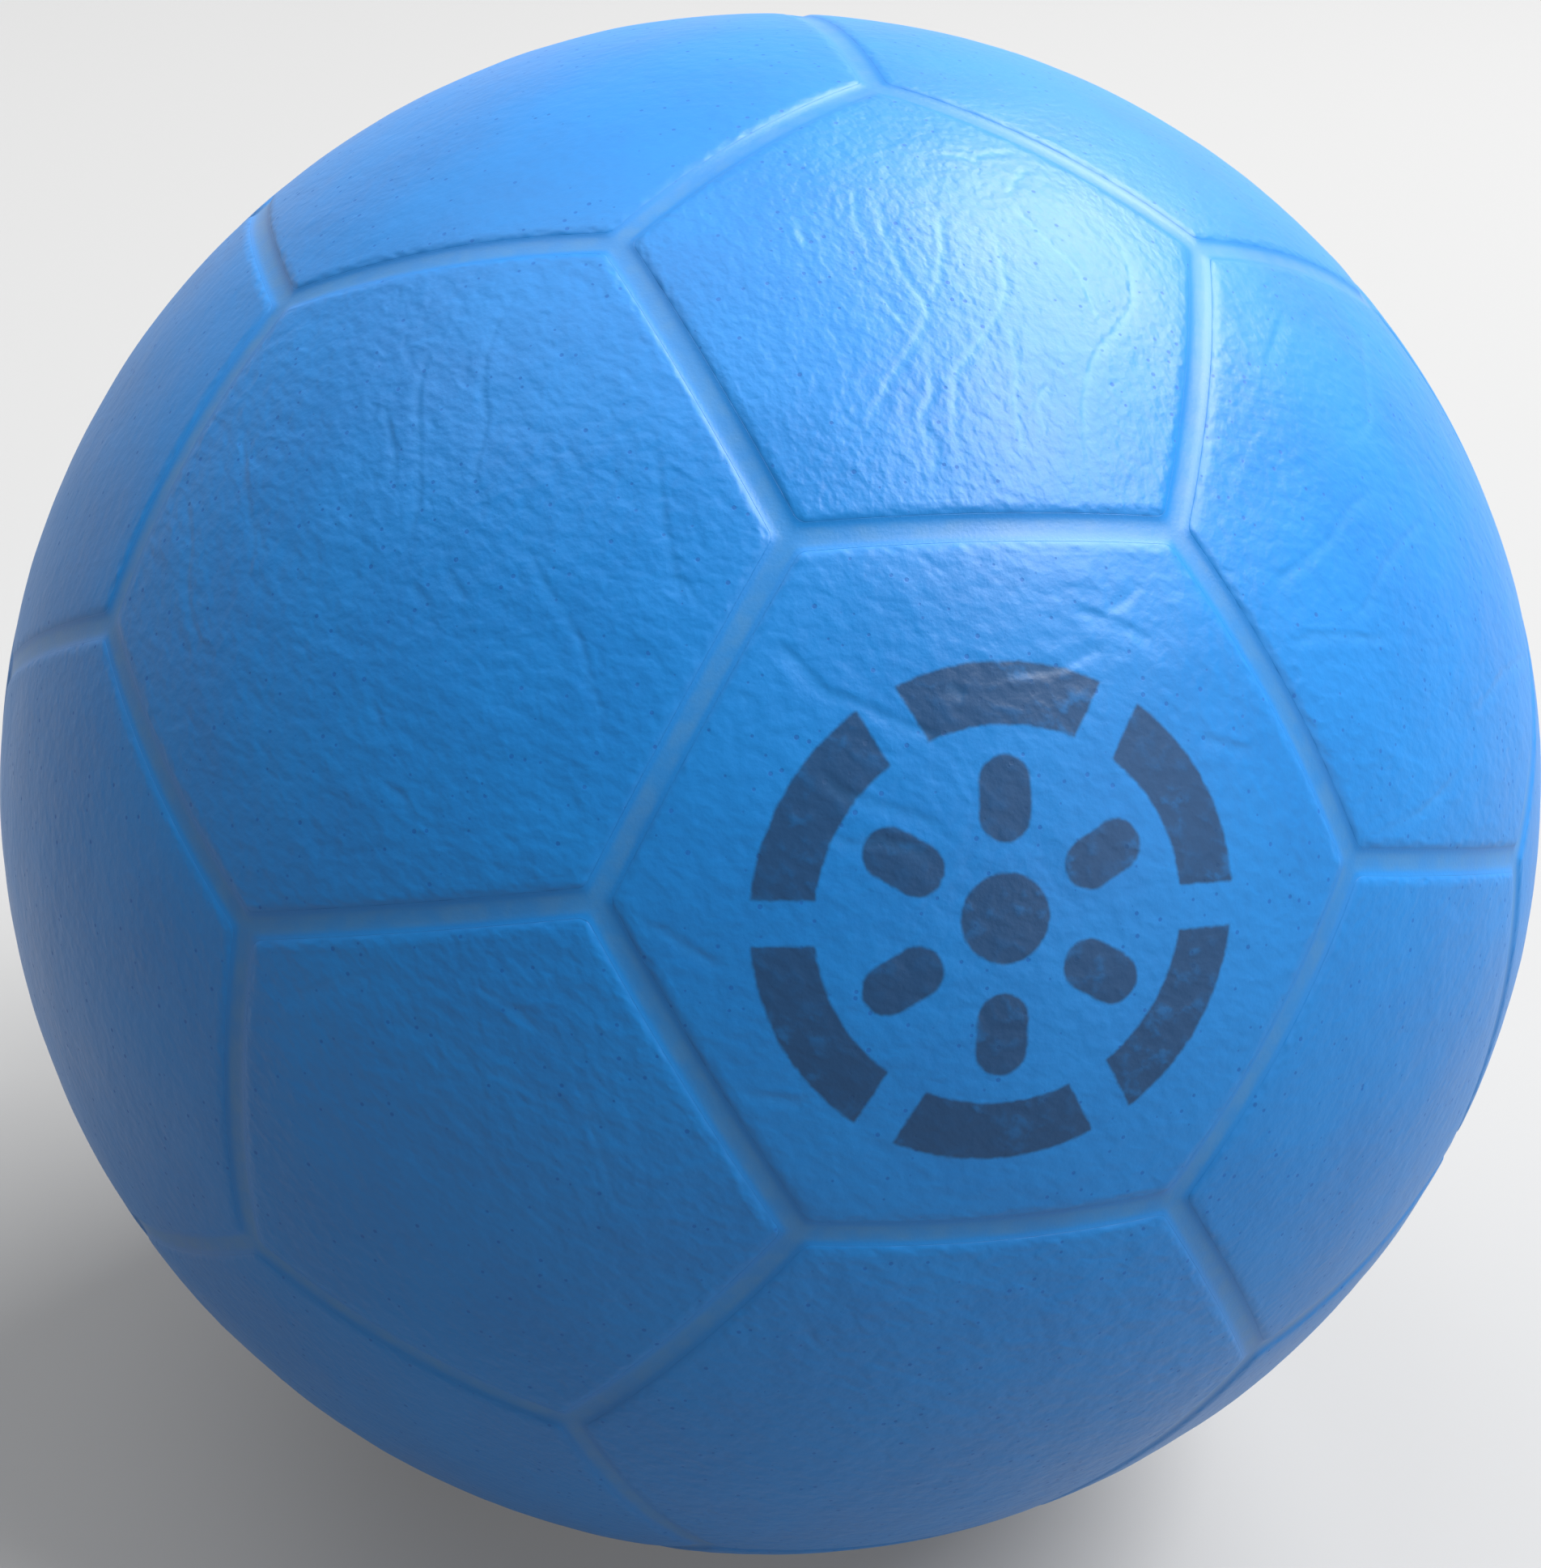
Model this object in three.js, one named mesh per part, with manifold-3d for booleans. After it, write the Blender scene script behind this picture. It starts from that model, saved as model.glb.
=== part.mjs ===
// Indoor soccer ball, size 4. Thirty-two cover panels, twelve pentagons and twenty hexagons, are bonded
// into the fields between the raised seam ribs of a moulded carcass. Under the carcass lie a thread
// winding and an air bladder, and a needle valve passes through every layer.
// Millimetres, +Z up, origin at the ball's centre. Each axis leaves through the middle of a seam
// between two hexagons.
import * as THREE from "three";
import { mergeVertices } from "three/addons/utils/BufferGeometryUtils.js";
import Module from "manifold-3d";

// Cover and seams
const BALL_DIAMETER = 200;
const PANEL_THICKNESS = 2;
const EDGE_ROUND = 0.45; // width and drop of a panel's turned-down edge
const SEAM_WIDTH = 3; // between the walls of two neighbouring panels
const SEAM_DEPTH = 0.45; // from the ball's surface to the edge of a rib's crest
const RIB_HOLLOW = 0.1; // how far a crest dips along its middle

// Inner layers, from the outside in
const CARCASS_WALL = 1; // under the panels
const WINDING_WALL = 0.5;
const BLADDER_WALL = 0.7;

// Valve
const VALVE_RECESS = 0.6; // of its face below the ball's surface
const CORE_DIAMETER = 4;
const CORE_LENGTH = 15;
const CORE_HEAD_LIP = 0.7; // how far the head stands out round the core
const CORE_HEAD_THICKNESS = 1.2;
const FUNNEL_DIAMETER = 2.6; // mouth that guides the pump needle
const FUNNEL_DEPTH = 1.4;
const NEEDLE_DIAMETER = 0.9;
const SHUT_LENGTH = 5; // closed lips at the end of the needle's way
const NECK_WALL = 1.5; // round the core's head
const FLANGE_DIAMETER = 26;
const FLANGE_THICKNESS = 1.2;
const STEM_ROOT_WALL = 3.7; // round the core, at the flange
const STEM_TIP_WALL = 1.7; // the same at the tip
const OUTLET_DIAMETER = 2;
const OUTLET_LENGTH = 4; // from the core's tip to the stem's tip

// Fits
const GLUE_GAP = 0.3; // film between two bonded layers
const SIDE_GAP = 0.3; // between a panel's wall and a rib, and round the valve

// Facets
const SEAM_STEPS = 3; // along one side of a panel
const FIELD_STEPS = 3; // from a panel's middle to its edge, on the faces that are bonded
const LAYER_STEPS = 2; // the same on the inner layers
const ROUND_STEPS = 24; // round the valve
const WELD = 1e-3; // vertices this close are one

// Radii of the layers
const BALL_RADIUS = BALL_DIAMETER / 2;
const PANEL_UNDERSIDE = BALL_RADIUS - PANEL_THICKNESS;
const CARCASS_FIELD = PANEL_UNDERSIDE - GLUE_GAP;
const RIB_CREST = BALL_RADIUS - SEAM_DEPTH;
const CARCASS_INSIDE = CARCASS_FIELD - CARCASS_WALL;
const WINDING_OUTSIDE = CARCASS_INSIDE - GLUE_GAP;
const WINDING_INSIDE = WINDING_OUTSIDE - WINDING_WALL;
const BLADDER_OUTSIDE = WINDING_INSIDE - GLUE_GAP;
const BLADDER_INSIDE = BLADDER_OUTSIDE - BLADDER_WALL;
const FLANGE_OUTSIDE = BLADDER_INSIDE - GLUE_GAP;
const FLANGE_INSIDE = FLANGE_OUTSIDE - FLANGE_THICKNESS;

// Distances of a panel's and a rib's walls from the seam's middle line, along the ball's surface
const WALL_INSET = SEAM_WIDTH / 2;
const CROWN_INSET = WALL_INSET + EDGE_ROUND;
const RIB_INSET = WALL_INSET - SIDE_GAP;

// Diameters in the valve, from the core outwards
const CORE_HEAD_DIAMETER = CORE_DIAMETER + 2 * CORE_HEAD_LIP;
const CORE_BORE = CORE_DIAMETER + 2 * SIDE_GAP;
const HEAD_BORE = CORE_HEAD_DIAMETER + 2 * SIDE_GAP;
const NECK_DIAMETER = HEAD_BORE + 2 * NECK_WALL;
const PORT_DIAMETER = NECK_DIAMETER + 2 * SIDE_GAP;
const STEM_ROOT_DIAMETER = CORE_BORE + 2 * STEM_ROOT_WALL;
const STEM_TIP_DIAMETER = CORE_BORE + 2 * STEM_TIP_WALL;

// Distances along the valve's axis from the ball's centre
const VALVE_FACE = BALL_RADIUS - VALVE_RECESS;
const HEAD_UNDERSIDE = VALVE_FACE - CORE_HEAD_THICKNESS;
const CORE_TIP = VALVE_FACE - CORE_LENGTH;
const NEEDLE_END = CORE_TIP + SHUT_LENGTH;
const STEM_ROOT = (FLANGE_OUTSIDE + FLANGE_INSIDE) / 2;
const STEM_TIP = CORE_TIP - SIDE_GAP - OUTLET_LENGTH;

const wasm = await Module();
wasm.setup();

const paint = (color, roughness) =>
  new THREE.MeshStandardMaterial({ color, roughness, metalness: 0 });
const panelBlue = () => paint(0x2a7cc4, 0.55);

// Points on the unit sphere

const between = (from, to, share) => {
  const angle = from.angleTo(to);
  const point = from.clone().multiplyScalar(Math.sin((1 - share) * angle));
  point.addScaledVector(to, Math.sin(share * angle));
  return point.normalize();
};

// A panel's outline: its middle and its corners, counter-clockwise as seen from outside.
const outlineOf = (middle, corners) => {
  const across = corners[0].clone().projectOnPlane(middle).normalize();
  const along = middle.clone().cross(across);
  const turn = (corner) => Math.atan2(corner.dot(along), corner.dot(across));
  return { middle, corners: [...corners].sort((a, b) => turn(a) - turn(b)) };
};

// The pattern of the seams: an icosahedron's edges cut at their thirds.
const seamPattern = () => {
  const solid = new THREE.IcosahedronGeometry(1, 0);
  solid.deleteAttribute("normal");
  solid.deleteAttribute("uv");
  const welded = mergeVertices(solid, WELD);
  const place = welded.getAttribute("position");
  const tips = [];
  for (let i = 0; i < place.count; i += 1) {
    tips.push(new THREE.Vector3().fromBufferAttribute(place, i).normalize());
  }
  const faces = [];
  for (let i = 0; i < welded.index.count; i += 3) {
    faces.push([0, 1, 2].map((k) => welded.index.getX(i + k)));
  }
  const third = (a, b) => tips[a].clone().lerp(tips[b], 1 / 3).normalize();
  const pentagons = tips.map((tip, a) => {
    const others = new Set(faces.filter((face) => face.includes(a)).flat());
    others.delete(a);
    return outlineOf(tip, [...others].map((b) => third(a, b)));
  });
  const hexagons = faces.map(([a, b, c]) => {
    const middle = tips[a].clone().add(tips[b]).add(tips[c]).normalize();
    const pairs = [[a, b], [b, a], [b, c], [c, b], [c, a], [a, c]];
    return outlineOf(middle, pairs.map(([from, to]) => third(from, to)));
  });
  return { pentagons, hexagons };
};

// Rings of points round a panel

// The line that runs inside a panel's seams at a given distance from their middle lines.
const insetLine = ({ corners }, inset, steps) => {
  const rise = Math.sin(inset / BALL_RADIUS);
  const sides = corners.map((corner, i) => {
    const next = corners[(i + 1) % corners.length];
    return corner.clone().cross(next).normalize();
  });
  const turns = corners.map((corner, i) => {
    const before = sides.at(i - 1);
    const sum = before.clone().add(sides[i]);
    const inward = sum.multiplyScalar(rise / (1 + before.dot(sides[i])));
    const reach = Math.sqrt(1 - inward.lengthSq());
    return before.clone().cross(sides[i]).setLength(reach).add(inward);
  });
  const line = [];
  turns.forEach((from, i) => {
    const to = turns[(i + 1) % turns.length];
    const [start, end] = [from, to].map((p) => p.clone().projectOnPlane(sides[i]).normalize());
    for (let k = 0; k < steps; k += 1) {
      const level = between(start, end, k / steps).multiplyScalar(Math.sqrt(1 - rise * rise));
      line.push(level.addScaledVector(sides[i], rise));
    }
  });
  return line;
};

const atRadius = (line, radius) => line.map((point) => point.clone().multiplyScalar(radius));

// Rings from a panel's middle out to, but not with, an inset line.
const fieldRings = (outline, inset, steps, radius) => {
  const rim = insetLine(outline, inset, 1);
  const rings = [atRadius([outline.middle], radius)];
  for (let ring = 1; ring < steps; ring += 1) {
    const turns = rim.map((corner) => between(outline.middle, corner, ring / steps));
    const line = turns.flatMap((from, i) => {
      const to = turns[(i + 1) % turns.length];
      return Array.from({ length: ring }, (_, k) => between(from, to, k / ring));
    });
    rings.push(atRadius(line, radius));
  }
  return rings;
};

// Triangles between two rings that run the same way round; a ring of one point is a tip.
const bridge = (inner, outer) => {
  const innerTurns = inner.length > 1 ? inner.length : 0;
  const outerTurns = outer.length > 1 ? outer.length : 0;
  const triangles = [];
  let i = 0;
  let k = 0;
  while (i < innerTurns || k < outerTurns) {
    const a = inner[i % inner.length];
    const b = outer[k % outer.length];
    const outerFirst = k < outerTurns && (k + 1) * innerTurns <= (i + 1) * outerTurns;
    if (outerFirst || i >= innerTurns) {
      k += 1;
      triangles.push(a, b, outer[k % outer.length]);
    } else {
      i += 1;
      triangles.push(a, b, inner[i % inner.length]);
    }
  }
  return triangles;
};

const loft = (rings) => rings.slice(1).flatMap((ring, i) => bridge(rings[i], ring));

// Solids

const geometryOf = (triangles) =>
  mergeVertices(new THREE.BufferGeometry().setFromPoints(triangles), WELD);

const solidOf = (geometry) => {
  const bare = geometry.clone();
  bare.deleteAttribute("normal");
  bare.deleteAttribute("uv");
  const { attributes, index } = mergeVertices(bare, WELD);
  const mesh = { numProp: 3, vertProperties: attributes.position.array, triVerts: index.array };
  return new wasm.Manifold(new wasm.Mesh(mesh));
};

const geometryOfSolid = (solid) => {
  const { vertProperties, triVerts } = solid.getMesh();
  const geometry = new THREE.BufferGeometry();
  geometry.setAttribute("position", new THREE.BufferAttribute(vertProperties, 3));
  return geometry.setIndex(new THREE.BufferAttribute(triVerts, 1));
};

const { pentagons, hexagons } = seamPattern();
const outlines = [...pentagons, ...hexagons];

// The valve sits in the hexagon nearest to +Y that leans up towards +Z.
const valveSide = new THREE.Vector3(0, 1, 0.3).normalize();
const valvePanel = hexagons.reduce((best, outline) =>
  outline.middle.dot(valveSide) > best.middle.dot(valveSide) ? outline : best,
);
const valveTurn = new THREE.Quaternion().setFromUnitVectors(
  new THREE.Vector3(0, 1, 0),
  valvePanel.middle,
);
const onValveAxis = (geometry) => geometry.applyQuaternion(valveTurn);

// A round bar on the valve's axis, from the ball's centre out past its surface.
const valveBar = (diameter) => {
  const reach = BALL_DIAMETER;
  const bar = new THREE.CylinderGeometry(diameter / 2, diameter / 2, reach, ROUND_STEPS);
  return solidOf(onValveAxis(bar.translate(0, reach / 2, 0)));
};
const valvePort = valveBar(PORT_DIAMETER);

// A ball of a given radius, faceted alike for all inner layers.
const layerBall = (radius) =>
  solidOf(
    geometryOf(
      outlines.flatMap((outline) => {
        const seam = atRadius(insetLine(outline, 0, LAYER_STEPS), radius);
        return loft([...fieldRings(outline, 0, LAYER_STEPS, radius), seam]);
      }),
    ),
  );

const makePanel = (outline) => {
  const crown = insetLine(outline, CROWN_INSET, SEAM_STEPS);
  const wall = insetLine(outline, WALL_INSET, SEAM_STEPS);
  return geometryOf(
    loft([
      ...fieldRings(outline, CROWN_INSET, SEAM_STEPS, BALL_RADIUS),
      atRadius(crown, BALL_RADIUS),
      atRadius(wall, BALL_RADIUS - EDGE_ROUND),
      atRadius(wall, PANEL_UNDERSIDE),
      ...fieldRings(outline, WALL_INSET, FIELD_STEPS, PANEL_UNDERSIDE).reverse(),
    ]),
  );
};

const makeValvePanel = () =>
  geometryOfSolid(solidOf(makePanel(valvePanel)).subtract(valvePort));

const makeCarcass = () => {
  const outside = outlines.flatMap((outline) => {
    const wall = insetLine(outline, RIB_INSET, SEAM_STEPS);
    const seam = insetLine(outline, 0, SEAM_STEPS);
    return loft([
      ...fieldRings(outline, RIB_INSET, FIELD_STEPS, CARCASS_FIELD),
      atRadius(wall, CARCASS_FIELD),
      atRadius(wall, RIB_CREST),
      atRadius(seam, RIB_CREST - RIB_HOLLOW),
    ]);
  });
  const shell = solidOf(geometryOf(outside)).subtract(layerBall(CARCASS_INSIDE));
  return geometryOfSolid(shell.subtract(valvePort));
};

const makeLayer = (outside, inside) =>
  geometryOfSolid(layerBall(outside).subtract(layerBall(inside)).subtract(valvePort));

// A body turned on the valve's axis, from a list of diameters and distances from the ball's centre.
const turned = (profile) => {
  const points = profile.map(([diameter, distance]) => new THREE.Vector2(diameter / 2, distance));
  return onValveAxis(new THREE.LatheGeometry(points, ROUND_STEPS));
};

const makeValveBody = () => {
  const tube = turned([
    [OUTLET_DIAMETER, STEM_TIP],
    [STEM_TIP_DIAMETER, STEM_TIP],
    [STEM_ROOT_DIAMETER, STEM_ROOT],
    [NECK_DIAMETER, STEM_ROOT],
    [NECK_DIAMETER, VALVE_FACE],
    [HEAD_BORE, VALVE_FACE],
    [HEAD_BORE, HEAD_UNDERSIDE - SIDE_GAP],
    [CORE_BORE, HEAD_UNDERSIDE - SIDE_GAP],
    [CORE_BORE, CORE_TIP - SIDE_GAP],
    [OUTLET_DIAMETER, CORE_TIP - SIDE_GAP],
    [OUTLET_DIAMETER, STEM_TIP],
  ]);
  const disc = layerBall(FLANGE_OUTSIDE)
    .subtract(layerBall(FLANGE_INSIDE))
    .intersect(valveBar(FLANGE_DIAMETER));
  const flange = disc.subtract(valveBar((CORE_BORE + NECK_DIAMETER) / 2));
  return geometryOfSolid(flange.add(solidOf(tube)));
};

const makeValveCore = () =>
  turned([
    [0, CORE_TIP],
    [CORE_DIAMETER, CORE_TIP],
    [CORE_DIAMETER, HEAD_UNDERSIDE],
    [CORE_HEAD_DIAMETER, HEAD_UNDERSIDE],
    [CORE_HEAD_DIAMETER, VALVE_FACE],
    [FUNNEL_DIAMETER, VALVE_FACE],
    [NEEDLE_DIAMETER, VALVE_FACE - FUNNEL_DEPTH],
    [NEEDLE_DIAMETER, NEEDLE_END],
    [0, NEEDLE_END],
  ]);

const ball = new THREE.Group();
ball.name = "indoor_soccer_ball";

const add = (name, geometry, material) => {
  geometry.computeVertexNormals();
  const mesh = new THREE.Mesh(geometry, material);
  mesh.name = name;
  ball.add(mesh);
};
const numbered = (name, i) => `${name}_${String(i + 1).padStart(2, "0")}`;

pentagons.forEach((outline, i) => {
  add(numbered("pentagon_panel", i), makePanel(outline), panelBlue());
});
hexagons.forEach((outline, i) => {
  const shape = outline === valvePanel ? makeValvePanel() : makePanel(outline);
  add(numbered("hexagon_panel", i), shape, panelBlue());
});
add("seam_carcass", makeCarcass(), paint(0x6f93b4, 0.6));
add("thread_winding", makeLayer(WINDING_OUTSIDE, WINDING_INSIDE), paint(0xe4e0d2, 0.9));
add("bladder", makeLayer(BLADDER_OUTSIDE, BLADDER_INSIDE), paint(0x1c1c1e, 0.5));
add("valve_body", makeValveBody(), paint(0x22262c, 0.6));
add("valve_core", makeValveCore(), paint(0x2c3138, 0.55));

export default ball;
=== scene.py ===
"""Looks of an indoor soccer ball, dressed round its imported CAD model.

The thirty-two cover panels, the carcass whose ribs show in the seams, the inner layers and the valve
are modelled here at render density, in the place of their CAD nodes.
Metres, +Z up, origin at the ball's centre.
"""
import math
from itertools import combinations, permutations

import bpy
import numpy as np
from mathutils import Matrix, Vector


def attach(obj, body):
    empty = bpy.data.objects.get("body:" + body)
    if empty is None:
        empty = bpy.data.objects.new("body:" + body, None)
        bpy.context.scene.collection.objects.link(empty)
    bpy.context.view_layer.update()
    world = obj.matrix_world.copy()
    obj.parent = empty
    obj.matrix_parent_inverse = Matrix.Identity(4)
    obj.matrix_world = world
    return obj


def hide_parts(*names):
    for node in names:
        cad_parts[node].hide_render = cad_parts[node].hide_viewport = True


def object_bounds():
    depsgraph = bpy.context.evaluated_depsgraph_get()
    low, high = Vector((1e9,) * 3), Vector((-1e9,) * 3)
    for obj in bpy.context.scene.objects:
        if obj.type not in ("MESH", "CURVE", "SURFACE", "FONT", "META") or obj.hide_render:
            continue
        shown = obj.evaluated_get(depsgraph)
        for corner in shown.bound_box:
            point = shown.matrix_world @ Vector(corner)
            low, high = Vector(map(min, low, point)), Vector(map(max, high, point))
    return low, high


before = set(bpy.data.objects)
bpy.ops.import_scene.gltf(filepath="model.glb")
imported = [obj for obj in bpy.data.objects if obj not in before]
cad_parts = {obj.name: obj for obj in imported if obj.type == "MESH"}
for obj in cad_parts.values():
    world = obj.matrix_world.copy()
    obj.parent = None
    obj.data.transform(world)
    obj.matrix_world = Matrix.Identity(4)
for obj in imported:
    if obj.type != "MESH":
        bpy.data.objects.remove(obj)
cad_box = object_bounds()

MM = 0.001

# Sizes that the CAD model has too
BALL_RADIUS = 100 * MM
PANEL_THICKNESS = 2 * MM
EDGE_SLOPE = 0.45 * MM
SEAM_WIDTH = 3 * MM
SEAM_DEPTH = 0.45 * MM
GLUE_GAP = 0.3 * MM
CARCASS_WALL = 1 * MM
WINDING_WALL = 0.5 * MM
BLADDER_WALL = 0.7 * MM
VALVE_RECESS = 0.6 * MM
PORT_RADIUS = 4.8 * MM
NECK_RADIUS = 4.5 * MM
HEAD_BORE_RADIUS = 3 * MM
HEAD_RADIUS = 2.7 * MM
HEAD_THICKNESS = 1.2 * MM
CORE_RADIUS = 2 * MM
CORE_BORE_RADIUS = 2.3 * MM
CORE_LENGTH = 15 * MM
FUNNEL_RADIUS = 1.3 * MM
FUNNEL_DEPTH = 1.4 * MM
NEEDLE_RADIUS = 0.45 * MM
SHUT_LENGTH = 5 * MM
FLANGE_RADIUS = 13 * MM
FLANGE_THICKNESS = 1.2 * MM
STEM_ROOT_RADIUS = 6 * MM
STEM_TIP_RADIUS = 4 * MM
OUTLET_RADIUS = 1 * MM
OUTLET_LENGTH = 4 * MM
SIDE_GAP = 0.3 * MM

# Radii of the layers
PANEL_UNDERSIDE = BALL_RADIUS - PANEL_THICKNESS
CARCASS_FIELD = PANEL_UNDERSIDE - GLUE_GAP
CARCASS_INSIDE = CARCASS_FIELD - CARCASS_WALL
WINDING_OUTSIDE = CARCASS_INSIDE - GLUE_GAP
WINDING_INSIDE = WINDING_OUTSIDE - WINDING_WALL
BLADDER_OUTSIDE = WINDING_INSIDE - GLUE_GAP
BLADDER_INSIDE = BLADDER_OUTSIDE - BLADDER_WALL
FLANGE_OUTSIDE = BLADDER_INSIDE - GLUE_GAP
FLANGE_INSIDE = FLANGE_OUTSIDE - FLANGE_THICKNESS
VALVE_FACE = BALL_RADIUS - VALVE_RECESS

# Valve: the side that it is on, and the round edges there
VALVE_SIDE = (0, 1, 0.3)
PORT_LIP = 0.5 * MM  # on the panel
VALVE_LIP = 0.35 * MM  # on the valve's own pieces

# Seams, as distances from their middle lines
WALL_INSET = SEAM_WIDTH / 2
CROWN_INSET = WALL_INSET + EDGE_SLOPE
RIM_INSET = 2.9 * MM  # where a panel's even field ends; corners are round from here outwards
CROWN_ROUND = 0.38 * MM  # width of the turn from a panel's face into the hollow, on the hollow's side
CROWN_SPREAD = 0.8 * MM  # the same on the face's side
HOLLOW_POWER = 2.6  # shape of a seam's hollow: 2 is a parabola, more is flatter in the middle
HAIRLINE = 0.01 * MM  # between a panel and the rib that it is pressed against
CORNER_STRIP = 0.03 * MM  # keeps the shading of two walls apart at their corner

# Mesh density
VIEW_STEP = 0.26 * MM  # on the faces of the panels in view
GRID_STEP = 0.45 * MM  # on the other panels' faces
HOLLOW_STEPS = 16  # across half a seam
SEAM_STEPS = 90  # along a rib, from corner to corner
FIELD_STEPS = 10  # on faces that are bonded or hidden
LATHE_STEPS = 96
LIP_STEPS = 6
HOLE_PART = 6  # the valve's hole takes the place of one ring in this many
WELD_GRID = 0.001 * MM  # points that round to the same place on this grid are one point

# Photograph: the camera's place, and the ball's outline in its pixels
PHOTO_SIZE = (1904, 1937)
PHOTO_MIDDLE = np.array(PHOTO_SIZE) / 2
OUTLINE_RADIUS_PX = 952
CAMERA_DISTANCE = 346.5 * MM
CAMERA_AZIMUTH = math.radians(-15.4)
CAMERA_ELEVATION = math.radians(26.8)
CAMERA_ROLL = math.radians(4.65)
SENSOR_WIDTH = 36  # on the picture's long side, as Blender's lens unit has it
CLIP_START = 10 * MM

SEED = 7
rng = np.random.default_rng(SEED)


# Points on the unit sphere


def unit(v):
    v = np.asarray(v, float)
    return v / np.linalg.norm(v, axis=-1, keepdims=True)


def arc(start, end, share):
    """Points on the great circle from start to end."""
    share = np.asarray(share, float)[..., None]
    angle = np.arccos(np.clip(np.sum(start * end, -1, keepdims=True), -1, 1))
    near, far = np.sin((1 - share) * angle), np.sin(share * angle)
    return (near * start + far * end) / np.sin(angle)


def tangent(point, direction):
    """The part of a direction that lies along the ball's surface at a point."""
    return unit(direction - point * np.sum(point * direction, -1, keepdims=True))


def smooth_step(x):
    x = np.clip(x, 0, 1)
    return x * x * (3 - 2 * x)


class Outline:
    """A panel's place in the seam pattern: its middle, and its corners counter-clockwise from outside."""

    def __init__(self, middle, corners):
        across = tangent(middle, corners[0])
        angle = np.arctan2(corners @ np.cross(middle, across), corners @ across)
        self.middle = middle
        self.corners = corners[np.argsort(angle)]
        self.sides = len(corners)
        self.inward = unit(np.cross(self.corners, np.roll(self.corners, -1, 0)))

    def inset_of(self, points):
        """Distance of points from the nearest seam's middle line."""
        return np.arcsin((points @ self.inward.T).min(-1)) * BALL_RADIUS

    def inset_corners(self, inset):
        before = np.roll(self.inward, 1, 0)
        facing = np.sum(before * self.inward, -1, keepdims=True)
        lean = (before + self.inward) * math.sin(inset / BALL_RADIUS) / (1 + facing)
        reach = np.sqrt(1 - np.sum(lean * lean, -1, keepdims=True))
        return unit(np.cross(before, self.inward)) * reach + lean

    def line(self, inset, steps):
        """A line with sharp corners along all sides, at a distance from the seams' middle lines."""
        rise = math.sin(inset / BALL_RADIUS)
        turns = self.inset_corners(inset)
        start = tangent(self.inward, turns)
        end = tangent(self.inward, np.roll(turns, -1, 0))
        level = arc(start[:, None], end[:, None], np.arange(steps) / steps)
        return (level * math.sqrt(1 - rise**2) + self.inward[:, None] * rise).reshape(-1, 3)

    def round_line(self, inset, steps):
        """The same with round corners, outside RIM_INSET."""
        reach = (RIM_INSET - inset) / BALL_RADIUS
        bend = (RIM_INSET - WALL_INSET) / BALL_RADIUS * math.pi / self.sides
        turns = self.inset_corners(RIM_INSET)
        points = []
        for i, normal in enumerate(self.inward):
            here, there = turns[i], turns[(i + 1) % self.sides]
            start, end = tangent(normal, here), tangent(normal, there)
            straight = math.acos(start @ end)
            place = np.arange(steps) / steps * (straight + 2 * bend)
            level = arc(start, end, np.clip((place - bend) / straight, 0, 1))
            rise = here @ normal
            base = level * math.sqrt(1 - rise**2) + normal * rise
            out = tangent(base, -normal)
            for corner, other, share in (
                (here, self.inward[i - 1], (bend - place) / bend),
                (there, self.inward[(i + 1) % self.sides], (place - bend - straight) / bend),
            ):
                on = share > 0
                own, next_own = tangent(corner, -normal), tangent(corner, -other)
                out[on] = arc(own, next_own, share[on] / 2)
            points.append(base * math.cos(reach) + out * math.sin(reach))
        return np.concatenate(points)

    def field(self, rim, steps, middle=None):
        """Rings from the panel's middle, or from a ring round it, out to but not with a rim line."""
        per_side = len(rim) // self.sides
        first = 0 if middle is None else steps // HOLE_PART
        rings = [self.middle[None] if middle is None else middle(rim)]
        for ring in range(first + 1, steps):
            place = np.arange(self.sides * ring) * per_side / ring
            low = np.floor(place).astype(int)
            mix = (place - low)[:, None]
            edge = unit(rim[low] * (1 - mix) + rim[(low + 1) % len(rim)] * mix)
            start = self.middle if middle is None else middle(edge)
            share = (ring - first) / (steps - first)
            rings.append(arc(start, edge, np.full(len(edge), share)))
        return rings


def seam_pattern():
    """Outlines of the pentagons and hexagons: an icosahedron's edges cut at their thirds."""
    golden = (1 + math.sqrt(5)) / 2
    signs = [(a, b) for a in (-1, 1) for b in (-1, 1)]
    tips = unit([np.roll((0, a, b * golden), k) for k in range(3) for a, b in signs])
    edge_cosine = 1 / math.sqrt(5)  # between tips that share an edge
    near = np.isclose(tips @ tips.T, edge_cosine)

    def third(a, b):
        return unit(2 * tips[a] + tips[b])

    pentagons = []
    for a, tip in enumerate(tips):
        pentagons.append(Outline(tip, np.array([third(a, b) for b in np.flatnonzero(near[a])])))
    hexagons = []
    for face in combinations(range(len(tips)), 3):
        if all(near[a, b] for a, b in combinations(face, 2)):
            corners = np.array([third(a, b) for a, b in permutations(face, 2)])
            hexagons.append(Outline(unit(tips[list(face)].sum(0)), corners))
    return pentagons, hexagons


pentagons, hexagons = seam_pattern()
outlines = pentagons + hexagons


def nearest(choices, direction):
    return max(choices, key=lambda outline: outline.middle @ np.asarray(direction))


valve_outline = nearest(hexagons, VALVE_SIDE)


def port_ring(points, radius=PORT_RADIUS):
    """Points of a circle round the valve's axis that lie towards the given points."""
    axis = valve_outline.middle
    angle = math.asin(radius / BALL_RADIUS)
    return axis * math.cos(angle) + tangent(axis, points) * math.sin(angle)


# Meshes from rings


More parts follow.
